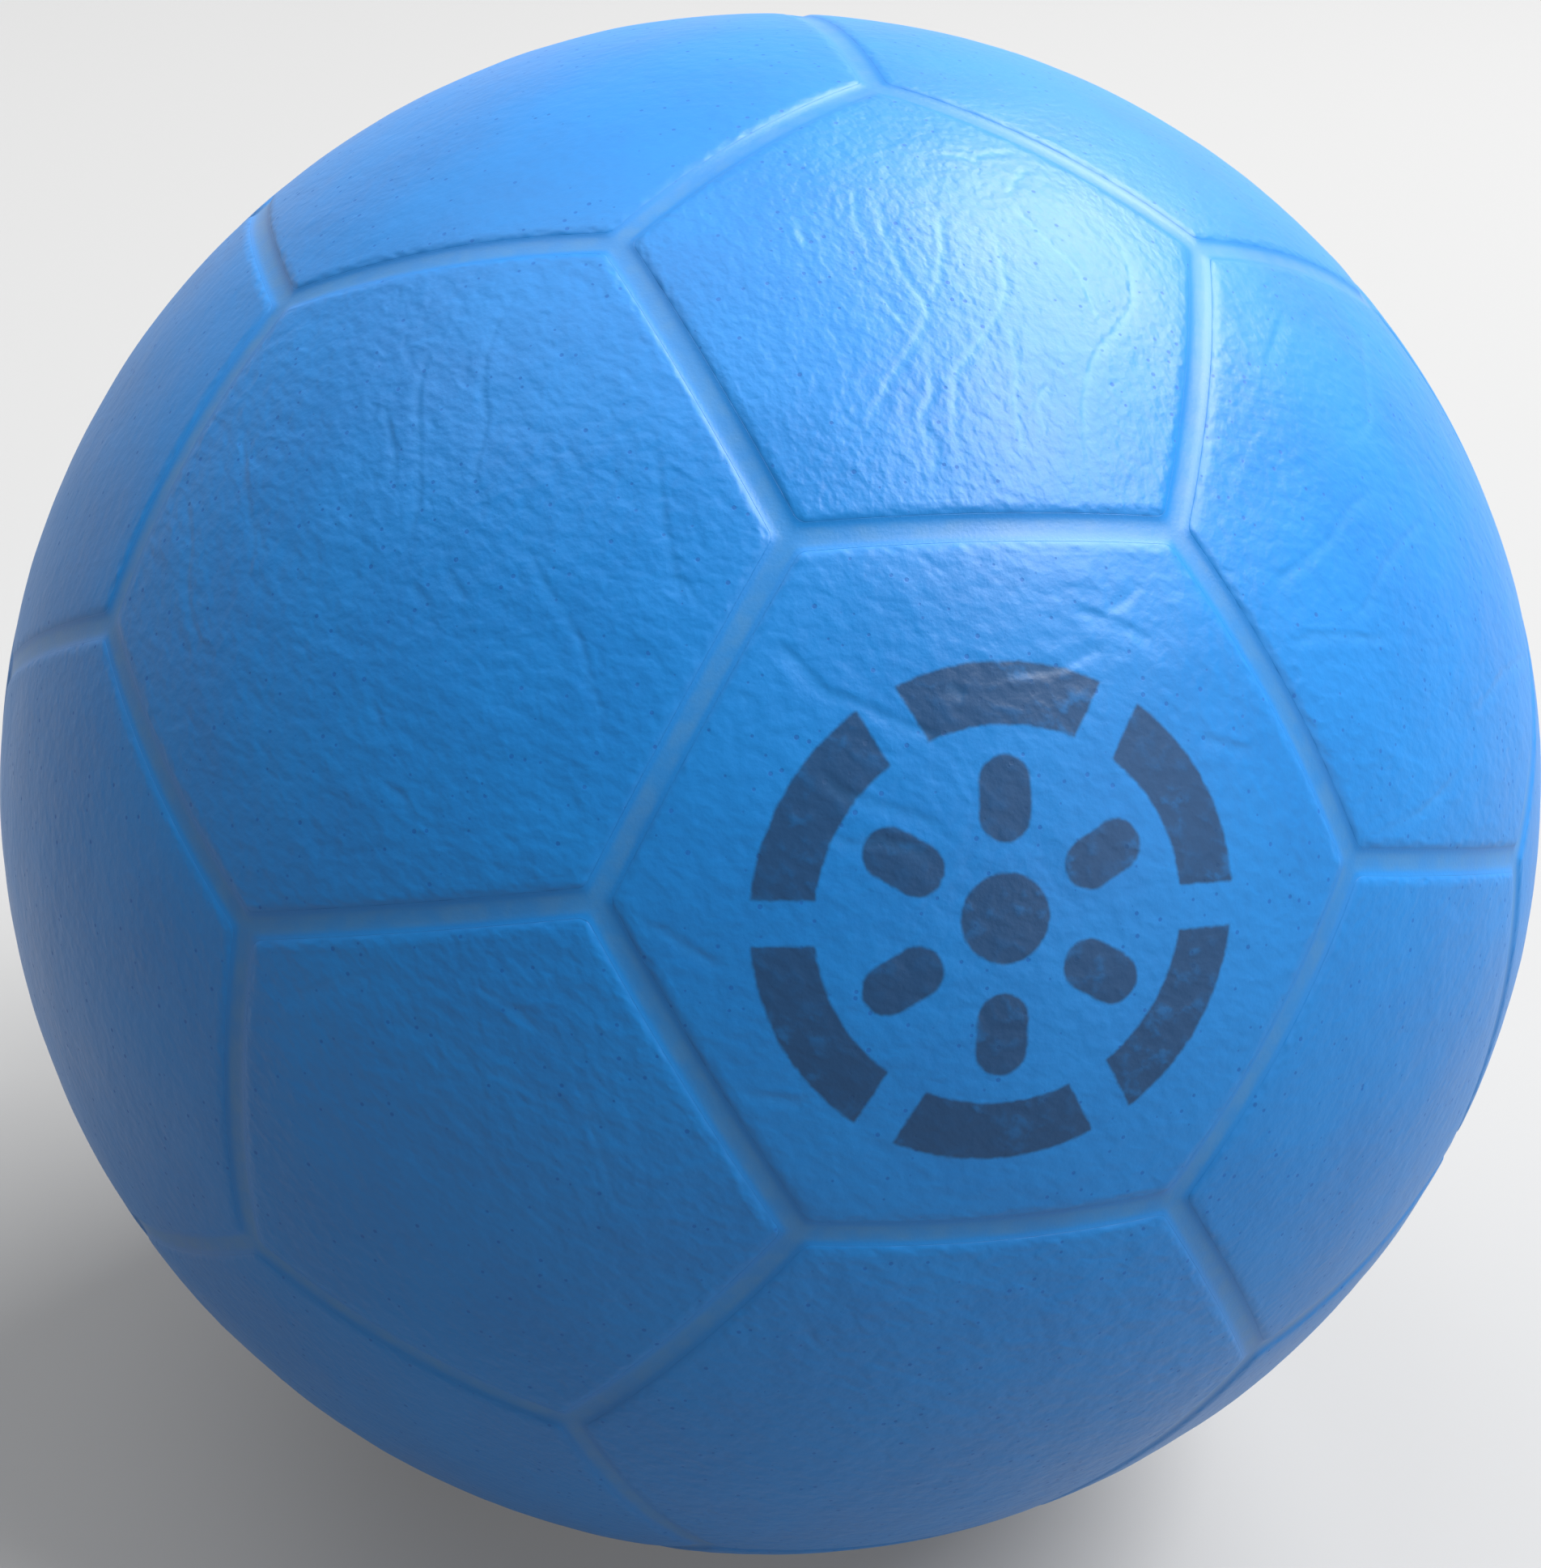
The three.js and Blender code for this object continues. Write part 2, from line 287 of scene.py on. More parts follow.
def bridge(inner, outer):
    """Triangles between two rings of vertex numbers that run the same way; one vertex is a tip."""
    a = len(inner) if len(inner) > 1 else 0
    b = len(outer) if len(outer) > 1 else 0
    k = np.arange(b)
    i_at = np.maximum(-(-(k + 1) * a // max(b, 1)) - 1, 0)
    fans = [inner[i_at % len(inner)], outer[k], outer[(k + 1) % len(outer)]]
    i = np.arange(a)
    k_at = (i + 1) * b // max(a, 1)
    backs = [inner[i], outer[k_at % len(outer)], inner[(i + 1) % len(inner)]]
    return np.concatenate([np.stack(fans, 1), np.stack(backs, 1)])


def loft(rings):
    """Points and triangles of a skin over rings, in their order."""
    ends = np.cumsum([len(ring) for ring in rings])
    numbers = [np.arange(end - len(ring), end) for ring, end in zip(rings, ends)]
    return np.concatenate(rings), np.concatenate([bridge(*pair) for pair in zip(numbers, numbers[1:])])


def welded(parts):
    """Several skins as one, with their shared points merged."""
    points = np.concatenate([p for p, _ in parts])
    starts = np.cumsum([0] + [len(p) for p, _ in parts])
    triangles = np.concatenate([t + start for (_, t), start in zip(parts, starts)])
    grid = np.round(points / WELD_GRID).astype(np.int64)
    _, first, place = np.unique(grid, axis=0, return_index=True, return_inverse=True)
    triangles = place.reshape(-1)[triangles]
    a, b, c = triangles.T
    return points[first], triangles[(a != b) & (b != c) & (a != c)]


def turn(start, corner, end, steps):
    """Points of a profile's smooth turn, which leaves its start and meets its end towards a corner."""
    start, corner, end = (np.array(p) for p in (start, corner, end))
    t = np.linspace(0, 1, steps + 1)[:, None]
    return [tuple(p) for p in start * (1 - t) ** 2 + 2 * corner * t * (1 - t) + end * t**2]


def rounded(corner, before, after, size, steps=4):
    """Points that round a profile's corner off towards the points before and after it."""
    corner, before, after = (np.array(p) for p in (corner, before, after))
    start = corner + (before - corner) / np.linalg.norm(before - corner) * size
    end = corner + (after - corner) / np.linalg.norm(after - corner) * size
    return turn(start, corner, end, steps)


def add_piece(name, points, triangles, material, slot, node):
    """A smooth mesh object that stands for a CAD node."""
    mesh = bpy.data.meshes.new(name)
    mesh.vertices.add(len(points))
    mesh.vertices.foreach_set("co", points.astype(np.float32).ravel())
    mesh.loops.add(triangles.size)
    mesh.loops.foreach_set("vertex_index", triangles.astype(np.int32).ravel())
    mesh.polygons.add(len(triangles))
    mesh.polygons.foreach_set("loop_start", np.arange(0, triangles.size, 3, dtype=np.int32))
    mesh.update(calc_edges=True)
    mesh.shade_smooth()
    mesh.materials.append(material)
    piece = bpy.data.objects.new(name, mesh)
    bpy.context.scene.collection.objects.link(piece)
    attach(piece, "root")
    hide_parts(node)
    return piece


def add_attribute(piece, name, values):
    """A number or a vector for each vertex, for a material to read."""
    kind, field = ("FLOAT", "value") if values.ndim == 1 else ("FLOAT_VECTOR", "vector")
    attribute = piece.data.attributes.new(name, kind, "POINT")
    attribute.data.foreach_set(field, values.astype(np.float32).ravel())


# Camera


def camera_axes():
    """The camera's right, up and back directions."""
    a, e = CAMERA_AZIMUTH, CAMERA_ELEVATION
    back = np.array((math.sin(a) * math.cos(e), -math.cos(a) * math.cos(e), math.sin(e)))
    level = unit(np.cross((0, 0, 1), back))
    rise = np.cross(back, level)
    right = level * math.cos(CAMERA_ROLL) + rise * math.sin(CAMERA_ROLL)
    return right, np.cross(back, right), back


RIGHT, UP, BACK = camera_axes()
FOCAL_PX = OUTLINE_RADIUS_PX * math.sqrt((CAMERA_DISTANCE / BALL_RADIUS) ** 2 - 1)


def on_ball(pixels):
    """Directions from the ball's centre to the points that pixels of the photograph show."""
    x, y = (np.asarray(pixels, float) - PHOTO_MIDDLE).T / FOCAL_PX
    ray = unit(x[:, None] * RIGHT - y[:, None] * UP - BACK)
    along = -(ray @ BACK) * CAMERA_DISTANCE
    across = CAMERA_DISTANCE**2 - along**2
    depth = along - np.sqrt(np.maximum(BALL_RADIUS**2 - across, 0))
    return unit(BACK * CAMERA_DISTANCE + ray * depth[:, None])


def add_camera():
    data = bpy.data.cameras.new("camera")
    data.sensor_width = SENSOR_WIDTH
    data.lens = FOCAL_PX / max(PHOTO_SIZE) * SENSOR_WIDTH
    data.clip_start = CLIP_START
    camera = bpy.data.objects.new("camera", data)
    facing = Matrix((RIGHT, UP, BACK)).transposed().to_4x4()
    camera.matrix_world = Matrix.Translation(Vector(BACK * CAMERA_DISTANCE)) @ facing
    bpy.context.scene.collection.objects.link(camera)
    bpy.context.scene.camera = camera


# Relief of the panels

UNDULATION = 0.03 * MM
UNDULATION_WAVES = (9 * MM, 26 * MM)
DENT_HEIGHT = 0.016 * MM
DENT_WAVES = (2.6 * MM, 6 * MM)
GRAIN_STRETCH = 0.8  # the grain is longer along its run
WAVE_COUNT = 48
EDGE_FADE = 4 * MM  # relief dies out over this distance from a panel's edge
GRAIN_FADE = 0.9 * MM  # the fine grain dies out over this distance, down the edge
WOBBLE = 0.02 * MM  # unevenness of a panel's edge
WOBBLE_WAVES = (1.1 * MM, 3 * MM)
WOBBLE_REACH = 0.35 * MM

# Creases
KNOT_STEPS = 16  # from one point of a crease's line to the next, before its steps are made even
CREASE_STEP = 0.25 * MM
CREASE_LEAST_STEPS = 4
CREASE_WIDTH = 0.42 * MM
CREASE_DEPTH = 0.056 * MM
CREASE_REACH = 4  # widths from its line at which a crease ends
LEFT_STEEP = 1.4  # lean of a crease whose left wall is the steeper one
RIGHT_STEEP = 1 / LEFT_STEEP
CREASE_LIP = 0.2  # share of a crease's depth that its shoulders rise
CREASE_LIP_PLACE = 1.9  # widths from its line to the shoulders' tops
CREASE_TAPER = 0.2  # share of a crease's length over which each end fades

# Random creases, on the panels out of view
RANDOM_COUNT = 6  # tried on each panel
RANDOM_SPREAD = 0.26  # of their starts about the panel's middle, on the unit sphere
RANDOM_TURN = 0.35  # spread of the angle from one stretch to the next
RANDOM_STRETCHES = (2, 6)  # in each, from the first number to one below the second
RANDOM_STRETCH = (4 * MM, 6 * MM)
RANDOM_DEPTHS = (0.4, 0.9)  # shares of the usual depth
RANDOM_LEAST_STEPS = 20  # shorter ones are left out

# A pixel of the photograph on each panel in view
TOP_PENTAGON_PX = (1220, 400)
LEFT_HEXAGON_PX = (520, 720)
FRONT_HEXAGON_PX = (1210, 1086)
RIGHT_HEXAGON_PX = (1720, 700)
LOWER_PENTAGON_PX = (600, 1430)
BOTTOM_HEXAGON_PX = (1120, 1720)
TOP_HEXAGON_PX = (700, 160)
RIGHT_PENTAGON_PX = (1750, 1350)
LEFT_PENTAGON_PX = (150, 560)
LOW_LEFT_HEXAGON_PX = (160, 1200)

# Creases on the panels in view, in pixels of the photograph
TOP_PENTAGON_CREASES = (
    ((1054, 226), (1055, 254), (1057, 276), (1070, 294), (1076, 305)),
    ((1067, 233), (1083, 259), (1091, 285), (1107, 320), (1124, 350), (1142, 376), (1144, 394),
     (1124, 429), (1102, 464), (1085, 494), (1072, 525), (1061, 553)),
    ((1159, 254), (1162, 300), (1160, 340), (1149, 375)),
    ((1220, 268), (1229, 294), (1237, 324), (1241, 355), (1235, 381), (1220, 405), (1194, 442),
     (1181, 459), (1178, 494), (1179, 529), (1185, 560), (1198, 599)),
    ((1246, 243), (1259, 263), (1281, 285), (1307, 311), (1329, 333), (1342, 359),
     (1351, 381), (1362, 411)),
    ((1359, 263), (1373, 289), (1388, 315), (1397, 342), (1397, 376), (1381, 403), (1357, 433),
     (1344, 464), (1339, 498), (1341, 533), (1346, 564), (1349, 594)),
    ((1246, 385), (1250, 420), (1257, 455), (1253, 485), (1257, 516), (1264, 555), (1268, 577)),
    ((1150, 189), (1185, 193), (1203, 198), (1211, 191), (1242, 187), (1268, 183)),
    ((1301, 468), (1283, 494), (1290, 525), (1294, 542)),
    ((980, 263), (987, 285), (995, 307)),
    ((1144, 442), (1150, 485), (1138, 512), (1142, 533), (1155, 555), (1150, 594)),
    ((1085, 359), (1102, 381), (1120, 403)),
    ((1268, 206), (1250, 228), (1244, 243)),
)
LEFT_HEXAGON_CREASES = (
    ((536, 419), (525, 452), (518, 480), (518, 540), (518, 585), (518, 618), (509, 651), (498, 687)),
    ((641, 342), (630, 375), (611, 408), (600, 447), (598, 485), (601, 518),
     (591, 563), (586, 601), (597, 634)),
    ((225, 590), (233, 629), (236, 673), (232, 717), (236, 761), (249, 794), (269, 819)),
    ((299, 524), (302, 568), (305, 607), (310, 645), (313, 678), (305, 717), (305, 739)),
    ((313, 629), (320, 662), (332, 695)),
    ((649, 651), (652, 678), (671, 717), (699, 761), (718, 794), (729, 838), (743, 877), (757, 918)),
    ((473, 491), (481, 529), (487, 557), (487, 601)),
    ((809, 540), (817, 612), (826, 667), (837, 717), (848, 755)),
    ((836, 706), (855, 733), (875, 755)),
    ((696, 551), (721, 574)),
    ((473, 965), (495, 981), (511, 1004)),
    ((456, 860), (467, 882), (473, 904)),
    ((506, 717), (533, 750)),
    ((550, 700), (578, 744)),
)
FRONT_HEXAGON_CREASES = (
    ((937, 775), (986, 818), (1023, 855), (1060, 868), (1109, 892), (1146, 905), (1183, 920)),
    ((1321, 748), (1355, 760), (1392, 775), (1429, 794)),
    ((1411, 720), (1386, 745), (1361, 757)),
    ((1011, 948), (1035, 975), (1085, 994), (1134, 1009), (1177, 1028)),
    ((1017, 1034), (1060, 1043), (1109, 1043), (1158, 1061)),
    ((1478, 908), (1515, 920), (1552, 929)),
    ((888, 1351), (937, 1354), (986, 1360), (1011, 1357)),
    ((764, 1118), (790, 1138), (820, 1151), (857, 1175), (900, 1200)),
    ((1226, 837), (1269, 831), (1312, 825), (1349, 806), (1374, 803)),
    ((888, 838), (930, 868)),
    ((1171, 843), (1195, 861)),
)
RIGHT_HEXAGON_CREASES = (
    ((1589, 383), (1576, 418), (1563, 454)),
    ((1681, 393), (1686, 439), (1691, 485), (1689, 526), (1660, 536)),
    ((1707, 598), (1681, 618), (1660, 639), (1645, 665), (1614, 690), (1578, 716), (1553, 734)),
    ((1768, 634), (1743, 659), (1717, 690), (1701, 721), (1686, 752), (1655, 772)),
    ((1589, 793), (1619, 785), (1655, 785), (1691, 788), (1727, 798)),
    ((1886, 808), (1860, 829), (1840, 859), (1809, 890)),
    ((1809, 947), (1778, 983), (1748, 1008), (1717, 1024), (1686, 1039)),
)
LOWER_PENTAGON_CREASES = (
    ((575, 1218), (612, 1234), (645, 1257), (668, 1275), (686, 1294), (693, 1317)),
    ((594, 1324), (621, 1331), (649, 1345), (677, 1363)),
    ((515, 1335), (538, 1354), (566, 1381), (598, 1418), (621, 1451), (645, 1478)),
    ((714, 1331), (725, 1368), (734, 1405), (746, 1437), (755, 1465), (764, 1492)),
    ((354, 1234), (381, 1225), (418, 1211), (465, 1206)),
)
BOTTOM_HEXAGON_CREASES = (
    ((983, 1630), (1003, 1655), (1023, 1676)),
    ((1058, 1676), (1104, 1693), (1162, 1711)),
    ((1150, 1630), (1196, 1659), (1231, 1670)),
)


def curve_through(points, step):
    """Points at even steps on a smooth curve on the unit sphere through a few points."""
    if len(points) == 2:
        knots = np.array([points[0], unit(points[0] + points[1]), points[1]])
    else:
        knots = np.asarray(points)
    ends = np.concatenate([[2 * knots[0] - knots[1]], knots, [2 * knots[-1] - knots[-2]]])
    t = np.linspace(0, 1, KNOT_STEPS, endpoint=False)[:, None]
    spans = []
    for a, b, c, d in zip(ends, ends[1:], ends[2:], ends[3:]):
        spans.append(0.5 * (2 * b + (c - a) * t + (2 * a - 5 * b + 4 * c - d) * t**2
                            + (3 * b - a - 3 * c + d) * t**3))
    path = unit(np.concatenate(spans + [knots[-1:]]))
    run = np.concatenate([[0], np.cumsum(np.linalg.norm(np.diff(path, axis=0), axis=1))])
    even = np.linspace(0, run[-1], max(int(run[-1] / step), CREASE_LEAST_STEPS))
    return unit(np.stack([np.interp(even, run, path[:, k]) for k in range(3)], 1))


def crease_height(points, path, depth, width, lean):
    """Height of one crease at points of the unit sphere: a valley with raised shoulders."""
    reach = CREASE_REACH * width / BALL_RADIUS
    middle = unit(path.mean(0))
    spread = np.arccos(np.clip(path @ middle, -1, 1)).max() + reach
    near = np.flatnonzero(points @ middle > math.cos(spread))
    cosines = points[near] @ path.T
    best = cosines.argmax(1)
    side = np.cross(path, np.gradient(path, axis=0))
    side *= np.sign(side @ RIGHT)[:, None]
    on_right = np.sum((points[near] - path[best]) * side[best], -1) > 0
    wall = width * np.where(on_right, lean, 1 / lean)
    x = np.arccos(np.clip(cosines.max(1), -1, 1)) * BALL_RADIUS / wall
    share = best / (len(path) - 1)
    fade = smooth_step(share / CREASE_TAPER) * smooth_step((1 - share) / CREASE_TAPER)
    height = np.zeros(len(points))
    lip = CREASE_LIP * np.exp(-((x - CREASE_LIP_PLACE) ** 2))
    height[near] = depth * fade * (lip - np.exp(-(x**2)))
    return height


def wave_field(points, lengths):
    """An even random field of unit spread, made of waves of random direction."""
    size = 2 * math.pi / rng.uniform(*lengths, WAVE_COUNT)
    waves = unit(rng.normal(size=(WAVE_COUNT, 3))) * size[:, None]
    phase = rng.uniform(0, 2 * math.pi, WAVE_COUNT)
    return np.cos(points @ waves.T + phase).sum(1) * math.sqrt(2 / WAVE_COUNT)


# Panels


class Grain:
    """A panel's grain and creases.

    The grain has a run, a strength and a fineness. Each crease has a path, a depth, a width and a lean,
    and the creases share one amount of paling: partly real fold whitening, partly a painted highlight.
    """

    def __init__(self, outline, run=None, strength=0.6, fineness=1.1, creases=(), whitening_and_highlight=0.05):
        self.along = tangent(outline.middle, rng.normal(size=3) if run is None else run)
        self.across = np.cross(outline.middle, self.along)
        self.up = outline.middle
        self.strength = strength
        self.fineness = fineness
        self.offset = rng.uniform(-1, 1, 3)
        self.creases = list(creases)
        self.whitening_and_highlight = whitening_and_highlight

    def space(self, points):
        """Coordinates in which the grain is even: along its run, across it and outwards."""
        axes = np.stack([self.along * GRAIN_STRETCH, self.across, self.up], 1)
        return points @ axes * self.fineness + self.offset


def photo_creases(lines, depth, width, lean=LEFT_STEEP):
    """Creases along lines in the photograph's pixels, with shares of the usual depth and width."""
    paths = [curve_through(on_ball(line), CREASE_STEP / BALL_RADIUS) for line in lines]
    return [(path, CREASE_DEPTH * depth, CREASE_WIDTH * width, lean) for path in paths]


def random_creases(outline, grain):
    """Wavy creases that run roughly with the grain and stay on the panel."""
    creases = []
    for _ in range(RANDOM_COUNT):
        shift = rng.uniform(-RANDOM_SPREAD, RANDOM_SPREAD, 2)
        knots = [unit(outline.middle + shift @ [grain.along, grain.across])]
        heading = rng.normal(0, RANDOM_TURN)
        for _ in range(rng.integers(*RANDOM_STRETCHES)):
            heading += rng.normal(0, RANDOM_TURN)
            step = grain.along * math.cos(heading) + grain.across * math.sin(heading)
            knots.append(unit(knots[-1] + step * rng.uniform(*RANDOM_STRETCH) / BALL_RADIUS))
        path = curve_through(np.array(knots), CREASE_STEP / BALL_RADIUS)
        inside = outline.inset_of(path) > RIM_INSET
        if inside.sum() > RANDOM_LEAST_STEPS:
            depth = rng.uniform(*RANDOM_DEPTHS) * CREASE_DEPTH
            creases.append((path[inside], depth, CREASE_WIDTH, LEFT_STEEP))
    return creases


def edge_fade(outline, points, start, width):
    return smooth_step((outline.inset_of(points) - start) / width)


def panel_relief(outline, grain, points):
    """Height of a panel's waves and dents over the plain ball, and of its creases, on the unit sphere."""
    height = UNDULATION * wave_field(points * BALL_RADIUS, UNDULATION_WAVES)
    dents = wave_field(grain.space(points * BALL_RADIUS), DENT_WAVES)
    height += DENT_HEIGHT * grain.strength * dents
    creases = np.zeros(len(points))
    for crease in grain.creases:
        creases += crease_height(points, *crease)
    fade = edge_fade(outline, points, CROWN_INSET, EDGE_FADE)
    return height * fade, creases * fade


def edge_wobble(outline, points):
    """Height of the uneven line along a panel's edge, at points of the unit sphere."""
    off = (outline.inset_of(points) - CROWN_INSET) / WOBBLE_REACH
    return WOBBLE * wave_field(points * BALL_RADIUS, WOBBLE_WAVES) * np.exp(-(off**2))


def hollow_radius(inset):
    """Distance from the ball's centre to the bottom of a seam's hollow."""
    return BALL_RADIUS - SEAM_DEPTH * (1 - (inset / CROWN_INSET) ** HOLLOW_POWER)


def hollow_line(start, end, steps):
    return [(inset, hollow_radius(inset)) for inset in np.linspace(start, end, steps + 1)]


def edge_profile():
    """Insets and radii down a panel's edge to its foot, and down its wall."""
    foot = CROWN_INSET - CROWN_ROUND
    steepness = SEAM_DEPTH * HOLLOW_POWER / CROWN_INSET * (foot / CROWN_INSET) ** (HOLLOW_POWER - 1)
    corner = foot + (BALL_RADIUS - hollow_radius(foot)) / steepness
    crown = turn((corner + CROWN_SPREAD, BALL_RADIUS), (corner, BALL_RADIUS), (foot, hollow_radius(foot)),
                 HOLLOW_STEPS // 2)
    slope = hollow_line(foot, WALL_INSET + CORNER_STRIP, HOLLOW_STEPS // 4)
    return [*crown, *slope[1:], (WALL_INSET, hollow_radius(WALL_INSET)), (WALL_INSET, PANEL_UNDERSIDE)]


def rib_profile():
    """Insets and radii across half a rib, from its wall to its middle line."""
    inset = WALL_INSET - HAIRLINE
    crest = hollow_line(inset - CORNER_STRIP, 0, HOLLOW_STEPS // 2)
    return [(inset, CARCASS_FIELD), (inset, hollow_radius(inset)), *crest[:-1]]


def lip_ring(points):
    return port_ring(points, PORT_RADIUS + PORT_LIP)


def make_panel(outline, grain, step, material, node):
    steps = round(math.acos(outline.middle @ outline.corners[0]) * BALL_RADIUS / step)
    rim = outline.line(RIM_INSET, steps)
    has_port = outline is valve_outline
    face = [*outline.field(rim, steps, lip_ring if has_port else None), rim]
    top = np.concatenate(face)
    edges = [outline.round_line(inset, steps) * radius for inset, radius in edge_profile()]
    under_rim = outline.line(RIM_INSET, FIELD_STEPS)
    under = [*outline.field(under_rim, FIELD_STEPS, port_ring if has_port else None), under_rim]
    under = [ring * PANEL_UNDERSIDE for ring in reversed(under)]
    if has_port:
        lip = turn((PORT_RADIUS, BALL_RADIUS - PORT_LIP), (PORT_RADIUS, BALL_RADIUS),
                   (PORT_RADIUS + PORT_LIP, BALL_RADIUS), LIP_STEPS)
        under += [port_ring(rim, radius) * distance for radius, distance in lip[:-1]]
    points, triangles = loft([*face, *edges, *under])
    waves, creases = panel_relief(outline, grain, top)
    points[: len(top)] = top * (BALL_RADIUS + waves + creases)[:, None]
    points[len(top) :] *= 1 + edge_wobble(outline, unit(points[len(top) :]))[:, None] / BALL_RADIUS
    if has_port:
        inner_ring = np.arange(len(points) - len(under[-1]), len(points))
        triangles = np.concatenate([triangles, bridge(inner_ring, np.arange(len(face[0])))])
    piece = add_piece(node + "_skin", points, triangles, material, "panel_skin", node)
    add_attribute(piece, "grain_space", grain.space(points))
    strength = grain.strength * edge_fade(outline, unit(points), WALL_INSET, GRAIN_FADE)
    add_attribute(piece, "grain_height", strength)
    # Crease lines paled by their depth: partly real fold whitening, partly a painted highlight.
    whitening_and_highlight = np.zeros(len(points))
    whitening_and_highlight[: len(top)] = grain.whitening_and_highlight * np.clip(-creases / CREASE_DEPTH, 0, 1)
    add_attribute(piece, "crease_whitening_and_highlight", whitening_and_highlight)


# Carcass and inner layers


def make_carcass(material):
    parts = []
    for outline in outlines:
        has_port = outline is valve_outline
        middle = port_ring if has_port else None
        seam = outline.line(0, SEAM_STEPS)
        field_rim = outline.line(RIM_INSET, FIELD_STEPS)
        field = [*outline.field(field_rim, FIELD_STEPS, middle), field_rim]
        outside = [ring * CARCASS_FIELD for ring in field]
        wall = outline.round_line(WALL_INSET - HAIRLINE, SEAM_STEPS)
        for inset, radius in rib_profile():
            share = 1 - inset / (WALL_INSET - HAIRLINE)
            outside.append(unit(wall * (1 - share) + seam * share) * radius)
        outside.append(seam * (BALL_RADIUS - SEAM_DEPTH))
        inner_seam = outline.line(0, FIELD_STEPS)
        inner = [*outline.field(inner_seam, FIELD_STEPS, middle), inner_seam]
        inside = [ring * CARCASS_INSIDE for ring in reversed(inner)]
        parts += [loft(inside + outside)] if has_port else [loft(inside), loft(outside)]
    add_piece("carcass_ribs", *welded(parts), material, "carcass_rubber", "seam_carcass")


def make_layer(name, outside, inside, material, slot, node):
    parts = []
    for outline in outlines:
        has_port = outline is valve_outline
        seam = outline.line(0, FIELD_STEPS)
        rings = [*outline.field(seam, FIELD_STEPS, port_ring if has_port else None), seam]
        outer = [ring * outside for ring in rings]
        inner = [ring * inside for ring in reversed(rings)]
        parts += [loft(inner + outer)] if has_port else [loft(inner), loft(outer)]
    add_piece(name, *welded(parts), material, slot, node)


# Valve


def turned(name, profile, material, node):
    """A body turned on the valve's axis from radii and distances from the ball's centre."""
    axis = valve_outline.middle
    across = tangent(axis, np.array((1.0, 0, 0)))
    angle = np.arange(LATHE_STEPS) * 2 * math.pi / LATHE_STEPS
    circle = np.outer(np.cos(angle), across) + np.outer(np.sin(angle), np.cross(axis, across))
    rings = []
    for radius, distance in profile:
        ring = circle * radius + axis * distance
        rings.append(ring if radius > 0 else ring[:1])
    add_piece(name, *welded([loft(rings)]), material, "valve_rubber", node)


def make_valve(body_material, core_material):
    head_seat = VALVE_FACE - HEAD_THICKNESS - SIDE_GAP
    core_tip = VALVE_FACE - CORE_LENGTH
    stem_tip = core_tip - SIDE_GAP - OUTLET_LENGTH
    neck, bore = (NECK_RADIUS, VALVE_FACE), (HEAD_BORE_RADIUS, VALVE_FACE)
    neck_foot = (NECK_RADIUS, FLANGE_OUTSIDE)
    turned("valve_body_detail", [
        (OUTLET_RADIUS, stem_tip),
        (STEM_TIP_RADIUS, stem_tip),
        (STEM_ROOT_RADIUS, FLANGE_INSIDE),
        *rounded((FLANGE_RADIUS, FLANGE_INSIDE), (STEM_ROOT_RADIUS, FLANGE_INSIDE),
                 (FLANGE_RADIUS, FLANGE_OUTSIDE), VALVE_LIP),
        (FLANGE_RADIUS, FLANGE_INSIDE + VALVE_LIP),
        neck_foot,
        *rounded(neck, neck_foot, bore, VALVE_LIP),
        *rounded(bore, neck, (HEAD_BORE_RADIUS, head_seat), VALVE_LIP),
        (HEAD_BORE_RADIUS, head_seat),
        (CORE_BORE_RADIUS, head_seat),
        (CORE_BORE_RADIUS, core_tip - SIDE_GAP),
        (OUTLET_RADIUS, core_tip - SIDE_GAP),
        (OUTLET_RADIUS, stem_tip),
    ], body_material, "valve_body")
    rim, funnel = (HEAD_RADIUS, VALVE_FACE), (FUNNEL_RADIUS, VALVE_FACE)
    under = (HEAD_RADIUS, VALVE_FACE - HEAD_THICKNESS)
    throat = (NEEDLE_RADIUS, VALVE_FACE - FUNNEL_DEPTH)
    turned("valve_core_detail", [
        (0, core_tip),
        (CORE_RADIUS, core_tip),
        (CORE_RADIUS, VALVE_FACE - HEAD_THICKNESS),
        under,
        *rounded(rim, under, funnel, VALVE_LIP),
        *rounded(funnel, rim, throat, VALVE_LIP),
        throat,
        (NEEDLE_RADIUS, core_tip + SHUT_LENGTH),
        (0, core_tip + SHUT_LENGTH),
    ], core_material, "valve_core")


# Materials


